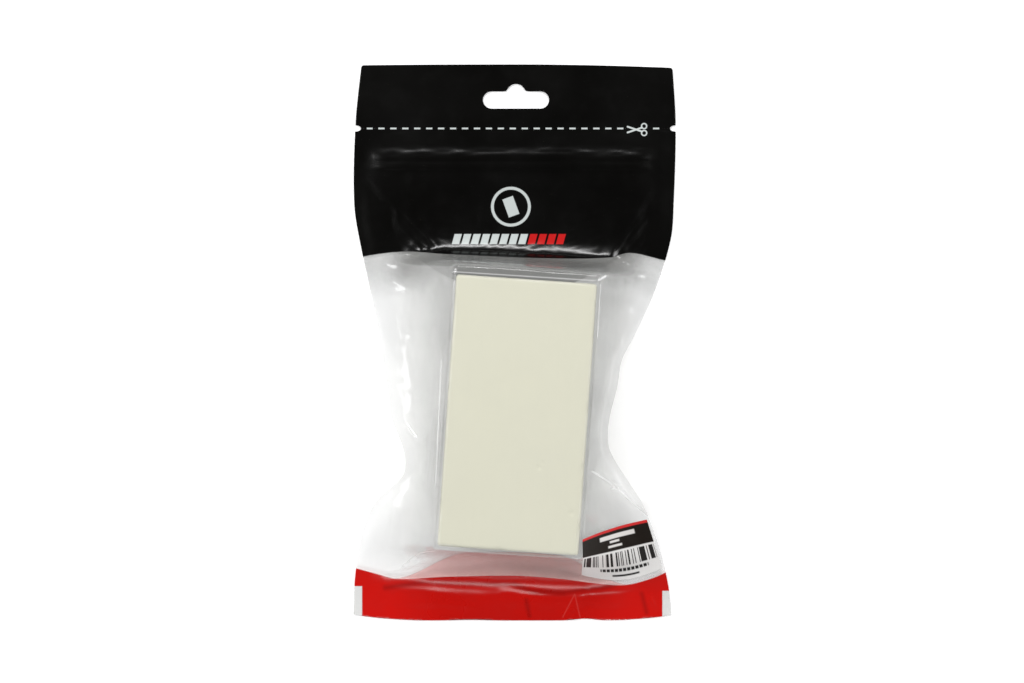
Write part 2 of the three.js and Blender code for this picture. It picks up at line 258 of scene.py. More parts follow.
def grid_faces(rows, columns, around=False):
    """Quads over a grid of points held row by row; around also joins its last column to its first."""
    i, j = np.meshgrid(np.arange(rows - 1), np.arange(columns if around else columns - 1), indexing="ij")
    here, after = i * columns + j, i * columns + (j + 1) % columns
    return np.stack([here, after, after + columns, here + columns], -1).reshape(-1, 4)


def add_attribute(piece, name, values):
    layer = piece.data.attributes.new(name, "FLOAT", "POINT")
    layer.data.foreach_set("value", np.asarray(values, np.float32).ravel())


def thicken(piece, thickness, offset=0.0, materials=()):
    """Gives a surface its thickness. Its own side takes the first material and the other the last."""
    for material in materials:
        piece.data.materials.append(material)
    solidify = piece.modifiers.new("thickness", "SOLIDIFY")
    solidify.thickness = thickness * MM
    solidify.offset = offset
    solidify.material_offset = max(len(materials) - 1, 0)
    solidify.use_even_offset = False
    faces = len(piece.data.polygons)
    apply_modifiers(piece)
    polygons = piece.data.polygons
    polygons.foreach_set("use_smooth", np.arange(len(polygons)) < 2 * faces)


def apply_modifiers(piece):
    bpy.context.view_layer.update()
    evaluated = piece.evaluated_get(bpy.context.evaluated_depsgraph_get())
    finished = bpy.data.meshes.new_from_object(evaluated)
    old = piece.data
    piece.modifiers.clear()
    piece.data = finished
    bpy.data.meshes.remove(old)


# ---- the films' shape ----
def block_corner(side, end):
    """Where the film folds at a corner of the block, with room for its travel at the head."""
    half = BLOCK_HALF[0] + FOLD_MARGIN
    reach = BLOCK_HALF[1] + FOLD_MARGIN + (BLOCK_TRAVEL if end > 0 else 0)
    return BLOCK_CENTRE + side * half * CROSSWISE + end * reach * LENGTHWISE


def steps_between(counts):
    """0 to len(counts), with that many even steps in each unit."""
    return np.concatenate([k + np.arange(n) / n for k, n in enumerate(counts)] + [[len(counts)]])


def with_holding_lines(values, gap):
    """Adds a value just inside each end, so that the smooth shading turns only at the very rim."""
    return np.sort(np.concatenate([values, [values[0] + gap, values[-1] - gap]]))


ROW_COUNTS = (8, 38, 122, 56, 20, 8, 8)
COLUMN_COUNTS = (3, 58, 60, 58, 3)
SIDE_POWER = 2.2  # how late the film rises from the side seam to the block
FOOT_POWER = 3.2
# The film's height from the block's head fold to the zip: (share of the way, share of the rise).
NECK_RISE = [
    (0, 1), (0.033, 0.72), (0.07, 0.44), (0.105, 0.24), (0.135, 0.14), (0.165, 0.092), (0.235, 0.052),
    (0.3, 0.03), (0.6, 0.01), (1, 0),
]  # fmt: skip


def film_grid(over_block, over_zip, weld):
    """A film's points, row by row from the foot to the perforation.

    Each row runs through six key points: edge, weld, fold, fold, weld, edge. Between the welds and
    the folds the height rises as a power of the way; between key rows it follows the block, the
    neck's own curve and the zip.
    """
    beyond_zip = 1.4
    level = lambda y, x_left, x_right: [y, x_left, y, x_right]
    keys = np.array([
        level(FOOT_Y, -FOOT_FLAT, FOOT_FLAT),
        level(FOOT_Y + FOOT_SEAL, -FOOT_FLAT, FOOT_FLAT),
        [*block_corner(-1, -1)[::-1], *block_corner(1, -1)[::-1]],
        [*block_corner(-1, 1)[::-1], *block_corner(1, 1)[::-1]],
        level(ZIP_LOW[1] - beyond_zip, ZIP_LOW[0] - 1, ZIP_HIGH[0] + 1),
        level(ZIP_HIGH[1] + beyond_zip, ZIP_LOW[0] - 1, ZIP_HIGH[0] + 1),
        level(TEAR_Y - NOTCH_HALF, ZIP_LOW[0] + 5, ZIP_HIGH[0] - 5),
        level(TEAR_Y, ZIP_LOW[0] + 5, ZIP_HIGH[0] - 5),
    ])  # fmt: skip
    row = with_holding_lines(steps_between(ROW_COUNTS), 0.01)
    y_left, x_fold_left, y_right, x_fold_right = (np.interp(row, np.arange(8), key) for key in keys.T)
    rise = np.clip(row - 1, 0, 1) ** FOOT_POWER * smooth_curve(NECK_RISE, np.clip(row - 3, 0, 1))
    zip_share = np.interp(row, [3, 4, 5, 6, 7], [0, 1, 1, 0, 0])
    height = weld + rise * (over_block - weld) + zip_share * (over_zip(y_left) - weld) * (1 - rise)
    column = with_holding_lines(steps_between(COLUMN_COUNTS), 0.02)
    hat = np.array([np.interp(column, np.arange(6), one) for one in np.eye(6)])
    x_left, x_right = left_at(y_left), right_at(y_right)
    x_keys = np.array([x_left, x_left + SIDE_SEAL, x_fold_left, x_fold_right, x_right - SIDE_SEAL, x_right])
    y_keys = np.array([y_left] * 3 + [y_right] * 3)
    x, y = x_keys.T @ hat, y_keys.T @ hat
    share = np.interp(column, [0, 1, 2, 3, 4, 5], [0, 0, 1, 1, 0, 0])
    power = np.interp(row, [3, 3.1, 3.6, 4], [SIDE_POWER, 5, 4, 1.5])[:, None]
    lift = np.where(column < 2.5, seam_lift_at(y_left)[:, None], seam_lift_at(y_right)[:, None])
    seam = weld + lift
    z = seam + (height[:, None] - seam) * share**power
    y = np.maximum(y, foot_at(x))
    return x, y, z


def soften(z, times, down=1):
    """Averages each height with its neighbours, so that folds are rounded. The rim stays. With down
    at 0, it averages only across the width."""
    for _ in range(times):
        z[1:-1] += down * (z[:-2] - 2 * z[1:-1] + z[2:]) / 4
        z[:, 1:-1] = (z[:, :-2] + 2 * z[:, 1:-1] + z[:, 2:]) / 4
    return z


SEAM_Z = 0.55


def front_film_surface():
    """The front film: the tent over the block, rounded at its folds, with its creases and relief."""
    weld = SEAM_Z + WELD / 2
    over_zip = lambda y: zip_top(0, y) + OVER_ZIP
    x, y, z = film_grid(BLOCK_TOP + OVER_BLOCK, over_zip, weld)
    z = soften(z, 3)
    neck = smoothstep(33, 40, y) * smoothstep(76, 66, y)
    z = z * (1 - neck) + soften(z.copy(), 150, down=0) * neck
    crushed = smoothstep(-1, ZIP_CRUSH, np.minimum(x - ZIP_LOW[0], ZIP_HIGH[0] - x))
    z = weld + (z - weld) * (1 - (1 - crushed) * smoothstep(62, 76, y))
    free = film_freedom(x, y)
    z = z + free * front_creases(x, y) + zip_relief(x, y) + neck_streaks(x, y) + foot_folds(x, y)
    from_strip = np.max([ZIP_LOW[0] - x, x - ZIP_HIGH[0], ZIP_LOW[1] - y, y - ZIP_HIGH[1]], 0)
    back = back_film_surface()[2]
    beneath = back + (zip_top(x, y) - back) * smoothstep(1.3, 0, from_strip)
    return x, y, np.maximum(z, beneath + WELD)


def beyond_block(x, y):
    """How far a place lies outside the block's outline: the larger of its two overshoots."""
    from_centre = np.stack([x, y], -1) - BLOCK_CENTRE
    across, along = np.abs(from_centre @ CROSSWISE), np.abs(from_centre @ LENGTHWISE)
    return np.maximum(across - BLOCK_HALF[0], along - BLOCK_HALF[1])


def film_freedom(x, y):
    """1 where the film hangs free, near 0 over the block's face and at the welded edges."""
    edge = np.minimum(x - left_at(y), right_at(y) - x)
    edge = np.minimum(edge, y - foot_at(x) - 2)
    return smoothstep(0.5, 7, edge) * (0.04 + 0.96 * smoothstep(-1, 6, beyond_block(x, y)))


def film_painted_shade(x, y):
    """Painted shade on the clear film, shown as grey: most beside the block and under the black print, where
    shade falls.
    """
    beyond = beyond_block(x, y)
    beside = smoothstep(-0.5, 2.5, beyond) * np.exp(-np.clip(beyond, 0, None) / 8)
    beside = beside * (0.7 + 0.3 * smoothstep(-75, 5, y)) * (1 - 0.85 * smoothstep(-92, -97, y))
    beside = beside * (1 - 0.4 * smoothstep(0, 20, x))
    under_print = smoothstep(-0.5, 2.5, beyond) * smoothstep(24, 0, smooth_curve(BLACK_BORDER, x) - y)
    under_print = under_print * (1 - 0.45 * smoothstep(46, 62, np.abs(x)))
    return np.clip(np.maximum(beside, 0.9 * under_print) * (0.9 + 0.3 * noise(x, y, 14, 51)), 0, 1)


def front_creases(x, y):
    """Soft folds that run out from the block's corners and the pouch's waist, over a fine crumple.
    The printed film is stiffer than the clear film, so its crumple is lower."""
    total = 1.1 * noise(x, y, 17, 3) + 0.45 * noise(x, y, 7, 4)
    total = total + 0.35 * (1 - 2 * np.abs(noise(x + 3 * noise(x, y, 9, 6), y, 8, 5)))
    total = total * (1 - 0.75 * smoothstep(34, 44, y)) * (1 - 0.8 * smoothstep(-100, -108, y))
    lines = [  # start, end, width, height
        ((33, -57), (47, -64), 0.9, 1.6), ((42, -61), (62, -80), 0.8, 1.5),
        ((36, -60), (56, -74), 1.6, 1.0), ((-52, -34), (-41, -46), 0.9, 1.2),
        ((-49, -52), (-38, -68), 1.4, -1.4), ((-33, -95), (-60, -104), 1.6, 1.6),
        ((-34, 34), (-58, 58), 2.2, 0.8), ((-36, 30), (-66, 42), 2.6, 0.4),
        ((-40, 22), (-60, 30), 2.6, -1.4), ((38, 30), (62, 40), 2.4, 0.4),
        ((40, 18), (56, 16), 2.6, -1.4), ((36, 8), (48, -4), 1.4, 1.2),
        ((38, 34), (58, 56), 2.4, 0.6),
    ]  # fmt: skip
    stiffness = 1 - 0.6 * smoothstep(36, 42, y)
    return total + stiffness * sum(crease(x, y, *line) for line in lines)


def foot_folds(x, y):
    """The printed foot's slack: a long low fold, a small pointed pleat and a few nicks."""
    lines = [
        ((-56, -108.5), (-4, -112), 2.0, 0.45), ((-8, -109.5), (22, -114), 1.6, 0.5),
        ((18, -114), (56, -110.5), 1.6, 0.5), ((31, -111), (23.5, -124), 0.7, 0.55),
        ((31, -111), (34.5, -124), 0.6, 0.5), ((-7, -113), (-5, -124), 1.1, 0.25),
        ((8, -114), (10, -124), 1.4, 0.22), ((-44, -116), (-14, -119), 2.2, 0.4),
        ((60, -112), (64, -121), 1.2, 0.3),
    ]  # fmt: skip
    return sum(crease(x, y, *line) for line in lines) * smoothstep(-103, -108, y)


def neck_streaks(x, y):
    """Fine creases fanning up and outward from the block's top corners across the black film."""
    total = 0 * x
    for side, (cx, cy) in ((-1, (-24, 30)), (1, (34, 26))):
        angle = np.arctan2(y - cy, side * (x - cx))
        away = np.hypot(x - cx, y - cy)
        fan = noise(angle * 22, away / 9, 1.0, 11 + side)
        reach = smoothstep(8, 18, away) * smoothstep(52, 26, away)
        total = total + 0.15 * fan * reach * smoothstep(-0.2, 0.35, angle)
    return total * smoothstep(72, 62, y) * smoothstep(24, 34, y)


def zip_crush(x):
    """The share of its height that the zip keeps: less towards the side seals, which crush it."""
    return 0.10 + 0.90 * smoothstep(0, ZIP_CRUSH, np.minimum(x - ZIP_LOW[0], ZIP_HIGH[0] - x))


def zip_top(x, y):
    """The closed zip's height: its section, lowered towards its base by the crush."""
    return ZIP_BASE + (np.interp(y, *np.array(ZIP_SECTION).T) - ZIP_BASE) * zip_crush(x)


def zip_relief(x, y):
    """The zip pressed through the film: a broad ridge, a narrow groove and a low second ridge."""
    ends = smoothstep(ZIP_LOW[0], ZIP_LOW[0] + 8, x) * smoothstep(ZIP_HIGH[0], ZIP_HIGH[0] - 8, x)
    wander = 0.25 * noise(x, 0 * x, 21, 8)
    ridge = 0.34 * bump(y, 84.0 + wander, 2.7) + 0.13 * noise(x / 4, y, 1.2, 9) * bump(y, 85, 2.6)
    groove = 0.08 - 0.24 * bump(y, 81.4 + wander / 2, 0.6)
    second = 0.14 * bump(y, 78.4 + wander / 2, 0.9)
    return ends * (ridge + groove + second)


def back_film_surface():
    """The back film: flat under the block and the zip, rising to the side seams, with a faint crumple."""
    x, y, z = film_grid(FILM, lambda y: 0 * y + FILM, SEAM_Z - WELD / 2)
    z = soften(z, 2)
    free = film_freedom(x, y) * smoothstep(75, 62, y)
    crumple = 0.5 + 0.5 * noise(x, y, 12, 21)
    rays = [
        ((-47, -53), (-32, -30)), ((-47, -56), (-30, -84)), ((40, -42), (28, -18)), ((41, -46), (30, -74)),
    ]  # fmt: skip
    radiating = sum(crease(x, y, *ray, 1.6, 1.1) for ray in rays)
    return x, y, np.maximum(z + 0.5 * free * crumple + free * radiating, FILM / 2)


def border_distance(x, y, border, sag=0.0):
    """Height above a printed border, which sag lowers across the block's width."""
    return y - smooth_curve(border, x) + sag * (1 - smoothstep(20, 54, np.abs(x + 1)))


def add_film_mesh(name, points, faces, black_sag=0.0, red_sag=0.0):
    """A film before it has its thickness, with its map and its distances from the printed borders."""
    piece = add_mesh(name, points, faces, points[:, :2] / MAP_MM)
    x, y = points[:, :2].T
    add_attribute(piece, "above_black_border", border_distance(x, y, BLACK_BORDER, black_sag))
    add_attribute(piece, "below_red_border", -border_distance(x, y, RED_BORDER, -red_sag))
    return piece


def make_film(name, surface, materials, black_sag=0.0, red_sag=0.0):
    """A film from its grid, with its painted shade and its steepness: 0 where it lies flat, 1 where it
    stands.
    """
    x, y, z = surface
    points = np.stack([x, y, z], -1).reshape(-1, 3)
    piece = add_film_mesh(name, points, grid_faces(*x.shape), black_sag, red_sag)
    # Painted shade on the clear film, kept as an attribute.
    add_attribute(piece, "painted_shade", film_painted_shade(x, y))
    normals = np.zeros(len(points) * 3, np.float32)
    piece.data.vertices.foreach_get("normal", normals)
    add_attribute(piece, "steepness", 1 - np.abs(normals[2::3]))
    thicken(piece, FILM, materials=materials)
    return piece


# ---- values in a shader tree ----
class Field:
    """A value in a shader tree that Python's own operators can combine into Math nodes."""

    def __init__(self, tree, socket):
        self.tree, self.socket = tree, socket

    def math(self, operation, *others):
        node = self.tree.nodes.new("ShaderNodeMath")
        node.operation = operation
        for slot, value in zip(node.inputs, (self, *others)):
            if isinstance(value, Field):
                self.tree.links.new(value.socket, slot)
            else:
                slot.default_value = value
        return Field(self.tree, node.outputs[0])

    def __add__(self, other):
        return self.math("ADD", other)

    def __sub__(self, other):
        return self.math("SUBTRACT", other)

    def __mul__(self, other):
        return self.math("MULTIPLY", other)

    def __truediv__(self, other):
        return self.math("DIVIDE", other)

    def __neg__(self):
        return self.math("MULTIPLY", -1.0)

    def abs(self):
        return self.math("ABSOLUTE")

    def fract(self):
        return self.math("FRACT")

    def floor(self):
        return self.math("FLOOR")

    def at_least(self, other):
        return self.math("MAXIMUM", other)

    def at_most(self, other):
        return self.math("MINIMUM", other)

    def between(self, start, end):
        """0 before start, 1 after end, even between."""
        node = self.tree.nodes.new("ShaderNodeMapRange")
        self.tree.links.new(self.socket, node.inputs["Value"])
        node.inputs["From Min"].default_value = start
        node.inputs["From Max"].default_value = end
        return Field(self.tree, node.outputs["Result"])


EDGE_MM = 0.12  # softness of a printed edge
MAP_MM = 100.0  # millimetres of film in one unit of its map


def inside(distance):
    """1 where a signed distance in millimetres is below zero."""
    return (-distance).between(-EDGE_MM, EDGE_MM)


def length(x, y):
    return (x * x + y * y).math("SQRT")


def box_distance(x, y, centre, half):
    dx, dy = (x - centre[0]).abs() - half[0], (y - centre[1]).abs() - half[1]
    return dx.at_least(dy)


def ring_distance(x, y, centre, radius, half_line):
    return (length(x - centre[0], y - centre[1]) - radius).abs() - half_line


def stroke_distance(x, y, start, end, half_line):
    """Distance to a straight stroke with round ends."""
    dx, dy = end[0] - start[0], end[1] - start[1]
    px, py = x - start[0], y - start[1]
    along = ((px * dx + py * dy) / (dx * dx + dy * dy)).at_least(0.0).at_most(1.0)
    return length(px - along * dx, py - along * dy) - half_line


def strokes(x, y, lines, softness=0.35):
    """1 on any of the straight strokes, falling to 0 beside them."""
    nearest = None
    for start, end, half_line in lines:
        distance = stroke_distance(x, y, start, end, half_line)
        nearest = distance if nearest is None else nearest.at_most(distance)
    return (-nearest).between(-softness, 0.25)


def shader(name):
    material = bpy.data.materials.new(name)
    material.use_nodes = True
    tree = material.node_tree
    principled = next(n for n in tree.nodes if n.type == "BSDF_PRINCIPLED")
    return material, tree, principled


def attribute(tree, name):
    node = tree.nodes.new("ShaderNodeAttribute")
    node.attribute_name = name
    return Field(tree, node.outputs["Fac"])


def print_place(tree):
    """A place on the piece's own map: for the films, where it lay when printed, over MAP_MM."""
    node = tree.nodes.new("ShaderNodeUVMap")
    node.uv_map = "Print"
    split = tree.nodes.new("ShaderNodeSeparateXYZ")
    tree.links.new(node.outputs["UV"], split.inputs[0])
    return Field(tree, split.outputs["X"]), Field(tree, split.outputs["Y"])


def mix_colour(tree, share, under, over):
    node = tree.nodes.new("ShaderNodeMix")
    node.data_type = "RGBA"
    plug(tree, share, node.inputs["Factor"])
    plug(tree, under, node.inputs["A"])
    plug(tree, over, node.inputs["B"])
    return node.outputs["Result"]


def plug(tree, value, socket):
    if isinstance(value, Field):
        tree.links.new(value.socket, socket)
    elif isinstance(value, bpy.types.NodeSocket):
        tree.links.new(value, socket)
    elif isinstance(value, tuple):
        socket.default_value = (*value, 1.0)
    else:
        socket.default_value = value


def fill_sockets(tree, shader_node, values):
    for name, value in values.items():
        plug(tree, value, shader_node.inputs[name])


def texture(tree, scale, detail, stretch=(1, 1, 1)):
    """A noise over the piece's own place, of that many marks per metre, times stretch along each axis."""
    place = tree.nodes.new("ShaderNodeTexCoord")
    mapping = tree.nodes.new("ShaderNodeMapping")
    mapping.inputs["Scale"].default_value = stretch
    tree.links.new(place.outputs["Object"], mapping.inputs["Vector"])
    node = tree.nodes.new("ShaderNodeTexNoise")
    node.inputs["Scale"].default_value = scale
    node.inputs["Detail"].default_value = detail
    tree.links.new(mapping.outputs[0], node.inputs["Vector"])
    return Field(tree, node.outputs[0])


def use_relief(tree, principled, height, depth_mm):
    """Tips the shading by a height that changes over the surface."""
    relief = tree.nodes.new("ShaderNodeBump")
    relief.inputs["Distance"].default_value = depth_mm * MM
    plug(tree, height, relief.inputs["Height"])
    tree.links.new(relief.outputs["Normal"], principled.inputs["Normal"])


def dice(tree, value):
    """A random value from 0 to 1 that stays the same between whole numbers."""
    node = tree.nodes.new("ShaderNodeTexWhiteNoise")
    node.noise_dimensions = "1D"
    plug(tree, value.floor(), node.inputs["W"])
    return Field(tree, node.outputs["Value"])


# ---- effects shared by the materials ----
def film_surface_group():
    """Film crumple: a fine uneven skin as a bump height, and a haze that thickens where it is scuffed."""
    group = bpy.data.node_groups.new("film_surface", "ShaderNodeTree")
    for side, sockets in (("INPUT", ("Crumple", "Scuff")), ("OUTPUT", ("Height", "Haze", "Roughness"))):
        for socket in sockets:
            group.interface.new_socket(socket, in_out=side, socket_type="NodeSocketFloat")
    given = group.nodes.new("NodeGroupInput")
    out = group.nodes.new("NodeGroupOutput")
    crumple, scuff = Field(group, given.outputs["Crumple"]), Field(group, given.outputs["Scuff"])
    fine = texture(group, 420.0, 2.0) - 0.5
    wide = texture(group, 95.0, 2.0) - 0.5
    height = (fine * 0.35 + wide) * crumple
    cloud = texture(group, 24.0, 4.0).between(0.35, 0.75)
    speck = texture(group, 130.0, 3.0).between(0.5, 0.8)
    haze = cloud * 0.75 + speck * 0.25
    fill_sockets(group, out, {"Height": height, "Haze": haze, "Roughness": haze * scuff + 0.19})
    return group


FILM_SURFACE = film_surface_group()


def use_film_surface(tree, principled, crumple, scuff, bump_mm):
    node = tree.nodes.new("ShaderNodeGroup")
    node.node_tree = FILM_SURFACE
    fill_sockets(tree, node, {"Crumple": crumple, "Scuff": scuff})
    use_relief(tree, principled, node.outputs["Height"], bump_mm)
    return Field(tree, node.outputs["Haze"]), Field(tree, node.outputs["Roughness"])


# ---- materials ----
# Each ink as (fresh, scuffed).
BLACK_INKS = (0.0010, 0.0009, 0.0007), (0.0022, 0.0021, 0.0018)
RED_INKS = (0.56, 0.003, 0.0006), (0.48, 0.003, 0.001)
# The same inks behind the film's milky lining, as the inside shows them. The inside red is paler still as
# painted light, for the light that shines through the red film.
INNER_BLACK_INKS = (0.34, 0.345, 0.34), (0.36, 0.365, 0.355)
INNER_RED_INKS = (0.95, 0.60, 0.585), (0.92, 0.55, 0.53)
CLEAR = (0.60, 0.61, 0.605)
# Painted shade: the grey that the clear film turns beside the block and under the print.
PAINTED_SHADE_GREY = (0.28, 0.28, 0.27)
PRINT_WHITE = (0.52, 0.56, 0.55)
PRINT_RED = (0.50, 0.012, 0.012)
DASH_PITCH, DASH_SHARE, DASH_HALF = 5.37, 0.52, 0.36
SCISSORS = (58.3, 95.7)
BLOCKS_Y, BLOCKS_HALF_HEIGHT, BLOCKS_SLANT = 46.4, 2.3, 0.28
BLOCKS_PITCH, BLOCKS_GAP = 4.25, 1.0


def dashes(x, y):
    """The row of dashes along the perforation, with a gap for the scissors."""
    along = ((x + 66.6) / DASH_PITCH).fract() - DASH_SHARE / 2
    dash = (along.abs() - DASH_SHARE / 2) * DASH_PITCH
    row = (y - TEAR_Y).abs() - DASH_HALF
    ends = x.abs() - 66.4
    clear_of_scissors = -(x - 55.3).abs() + 5.2
    return dash.at_least(row).at_least(ends).at_least(clear_of_scissors)


def scissors(x, y):
    """Two rings for the handles, each with its blade, which crosses the other."""
    cx, cy = SCISSORS
    above, below = (
        ring_distance(x, y, (cx, cy + side * 1.55), 1.15, 0.28).at_most(
            stroke_distance(x, y, (cx - 0.9, cy + side * 0.9), (cx - 7.4, cy - side * 1.3), 0.38)
        )
        for side in (1, -1)
    )
    return above.at_most(below)


def emblem(x, y):
    """A plain mark: a ring with a small tilted slab in it."""
    centre = (-1.6, 61.0)
    lean = math.radians(20)
    px, py = x - centre[0], y - centre[1]
    qx = px * math.cos(lean) + py * math.sin(lean)
    qy = py * math.cos(lean) - px * math.sin(lean)
    slab = box_distance(qx, qy, (0, 0), (2.5, 4.3))
    return ring_distance(x, y, centre, 8.3, 0.65).at_most(slab)


def slanted_blocks(x, y, start, count):
    """A row of plain slanted blocks that stands where a name would."""
    above_middle = y - BLOCKS_Y
    along = (x - start - above_middle * BLOCKS_SLANT) / BLOCKS_PITCH
    cell = (along.fract() - 0.5).abs() - (0.5 - BLOCKS_GAP / BLOCKS_PITCH / 2)
    ends = (along - count / 2).abs() - count / 2
    return (cell.at_least(ends) * BLOCKS_PITCH).at_least(above_middle.abs() - BLOCKS_HALF_HEIGHT)


# Painted highlights along the clear film's folds and creases, as (start, end, half width).
PAINTED_CREASE_HIGHLIGHTS = [
    ((34, -56.6), (41.5, -61.6), 0.22), ((41.5, -61.6), (46, -65.6), 0.42),
    ((46, -65.6), (51.5, -70.4), 0.3), ((43, -65), (47, -64.6), 0.28),
    ((51.5, -70.4), (60, -77.6), 0.18),
    ((-47.6, -36.6), (-43.6, -42), 0.22), ((-57.4, -16), (-56.9, -23), 0.22),
    ((36.6, 27), (39.8, 29), 0.4), ((37.2, 25), (36, 2), 0.12),
    ((-31.9, -8), (-34.4, -62), 0.1), ((-50.5, -100.6), (-42.5, -93.6), 0.12),
    ((-42.5, -93.6), (-34, -90.4), 0.12), ((-26.6, 30.7), (35, 26.8), 0.16),
]  # fmt: skip


# Painted shade in the red foot's folds, and a painted highlight along a pleat's edges.
PAINTED_FOLD_SHADE = [
    ((-58, -110.3), (-41, -107.8), 0.3), ((-41, -107.8), (-0.3, -108.9), 0.2),
    ((-0.3, -108.9), (8.1, -111.7), 0.5), ((8.1, -111.7), (22.2, -112.4), 0.6),
    ((22.2, -112.4), (44.7, -108.9), 0.3), ((5.3, -115.9), (6.7, -122.9), 0.1),
    ((57.3, -113.1), (59.4, -121.5), 0.1),
]  # fmt: skip
# Painted highlight along the pleat's two edges.
PAINTED_PLEAT_HIGHLIGHTS = [((27.1, -113.1), (21.7, -123.6), 0.05), ((27.1, -113.1), (29.5, -123.6), 0.05)]


def film_material(name, front=False, inner=False):
    """Printed film: clear in the middle, black towards the head and red towards the foot. Its
    milky lining veils the print on the inside. Painted shade greys the clear film beside the
    block and under the black print. On the front, painted highlights line its creases and pleats,
    and painted shade darkens the red foot's folds."""
    material, tree, principled = shader(name)
    x, y = (place * MAP_MM for place in print_place(tree))
    black = inside(-attribute(tree, "above_black_border"))
    red = inside(-attribute(tree, "below_red_border"))
    left_corner = (x + 68.5).at_least(y + 109.6)
    right_corner = (-x + 66.5).at_least(y + 111.7)
    bare = inside(left_corner.at_most(right_corner))
    red = red * (-bare + 1.0)
    haze, roughness = use_film_surface(tree, principled, 1.0, 0.10, 0.07)
    colour = mix_colour(tree, haze, CLEAR, (0.68, 0.69, 0.68))
    steepness, painted_shade = attribute(tree, "steepness"), attribute(tree, "painted_shade")
    # Painted shade: the clear film greyed, and made less see-through, beside the block and under the black
    # print.
    colour = mix_colour(tree, painted_shade, colour, PAINTED_SHADE_GREY)
    clear = steepness * steepness * 0.45 + painted_shade * 0.30 + haze * 0.03 + 0.055
    if front:
        # Painted highlight: white strokes along the front film's folds, also made less see-through.
        painted_highlight = strokes(x, y, PAINTED_CREASE_HIGHLIGHTS)
        colour = mix_colour(tree, painted_highlight, colour, (0.95, 0.95, 0.95))
        clear = clear + painted_highlight * 0.4
    colour = mix_colour(tree, bare, colour, (0.86, 0.86, 0.85))
    clear = clear.at_least(bare * 0.5)
    red_inks, black_inks = (INNER_RED_INKS, INNER_BLACK_INKS) if inner else (RED_INKS, BLACK_INKS)
    red_ink = mix_colour(tree, haze, *red_inks)
    if front:
        # Painted shade: the red ink darkened along the foot's folds.
        red_ink = mix_colour(tree, strokes(x, y, PAINTED_FOLD_SHADE, 1.6) * 0.6, red_ink, (0.24, 0.001, 0.0004))
        # Painted highlight: the red ink paled along the pleat's edges.
        red_ink = mix_colour(tree, strokes(x, y, PAINTED_PLEAT_HIGHLIGHTS) * 0.35, red_ink, (0.80, 0.16, 0.14))
    colour = mix_colour(tree, red, colour, red_ink)
    colour = mix_colour(tree, black, colour, mix_colour(tree, haze, *black_inks))
    if front:
        white = inside(dashes(x, y).at_most(scissors(x, y)).at_most(emblem(x, y)))
        white_blocks = inside(slanted_blocks(x, y, -28.0, 8))
        red_blocks = inside(slanted_blocks(x, y, 6.0, 4))
        colour = mix_colour(tree, white.at_least(white_blocks), colour, PRINT_WHITE)
        colour = mix_colour(tree, red_blocks, colour, PRINT_RED)
    printed = black.at_least(red * 0.97)
    fill_sockets(tree, principled, {
        "Base Color": colour,
        "Alpha": printed.at_least(clear).at_most(1.0),
        "Roughness": roughness + red * 0.07,
        "Coat Weight": (-printed + 1.0) * 0.65,
        "Coat IOR": 1.85,
        "Coat Roughness": 0.15,
        "IOR": 1.5,
        "Specular IOR Level": 0.5,
    })  # fmt: skip
    return material


def chalk_material():
    """Pressed chalk: warm off-white, faint saw lines along its length, a powdery grain, and edges painted
    paler as a highlight.
    """
    material, tree, principled = shader("pressed_chalk")
    edge = attribute(tree, "edge")
    lines = texture(tree, 260.0, 2.0, stretch=(1, 0.02, 1))
    cloud = texture(tree, 30.0, 4.0)
    grain = texture(tree, 3200.0, 2.0)
    tone = (lines - 0.5) * 0.10 + (cloud - 0.5) * 0.4 + (grain - 0.5) * 0.25 + 0.5
    colour = mix_colour(tree, tone.at_least(0.0).at_most(1.0), (0.605, 0.595, 0.47), (0.665, 0.655, 0.53))
    # Painted highlight: the rounded edges made paler, as where light catches them.
    colour = mix_colour(tree, edge, colour, (0.74, 0.73, 0.62))
    gloss = {"Roughness": grain * 0.1 + 0.86, "Specular IOR Level": 0.25}
    fill_sockets(tree, principled, {"Base Color": colour, **gloss})
    use_relief(tree, principled, grain * 0.6 + lines * 0.8, 0.05)
    return material


def label_material():
    """A paper label: red strip, dark panel with three plain bars, and stripes that encode nothing."""
    material, tree, principled = shader("label_paper")
    u, v = print_place(tree)
    edge = 0.008
    below = lambda value, limit: (-value + limit).between(-edge, edge)
    box = lambda cu, cv, hu, hv: below((u - cu).abs() - hu, 0.0) * below((v - cv).abs() - hv, 0.0)
    fibre = texture(tree, 1500.0, 3.0)
    paper = mix_colour(tree, fibre, (0.70, 0.685, 0.67), (0.80, 0.79, 0.78))
    panel = mix_colour(tree, fibre, (0.009, 0.006, 0.004), (0.015, 0.011, 0.008))
    colour = mix_colour(tree, below(v, 0.45), paper, panel)
    colour = mix_colour(tree, below(v, 0.055), colour, (0.62, 0.03, 0.03))
    lines = box(0.52, 0.17, 0.26, 0.045).at_least(box(0.47, 0.27, 0.07, 0.022))
    lines = lines.at_least(box(0.47, 0.36, 0.10, 0.022))
    colour = mix_colour(tree, lines, colour, (0.72, 0.70, 0.68))
    stripes = dice(tree, u * 92.0).between(0.47, 0.49) * box(0.5, 0.625, 0.485, 0.135)
    squares = ((u * 19.0).fract() - 0.5).abs().between(0.42, 0.36) * box(0.55, 0.83, 0.31, 0.028)
    last_line = box(0.56, 0.925, 0.17, 0.016)
    dark = stripes.at_least(squares).at_least(last_line)
    colour = mix_colour(tree, dark, colour, (0.02, 0.019, 0.018))
    gloss = {"Roughness": fibre * 0.15 + 0.5, "Specular IOR Level": 0.1}
    fill_sockets(tree, principled, {"Base Color": colour, **gloss})
    use_relief(tree, principled, fibre, 0.03)
    return material


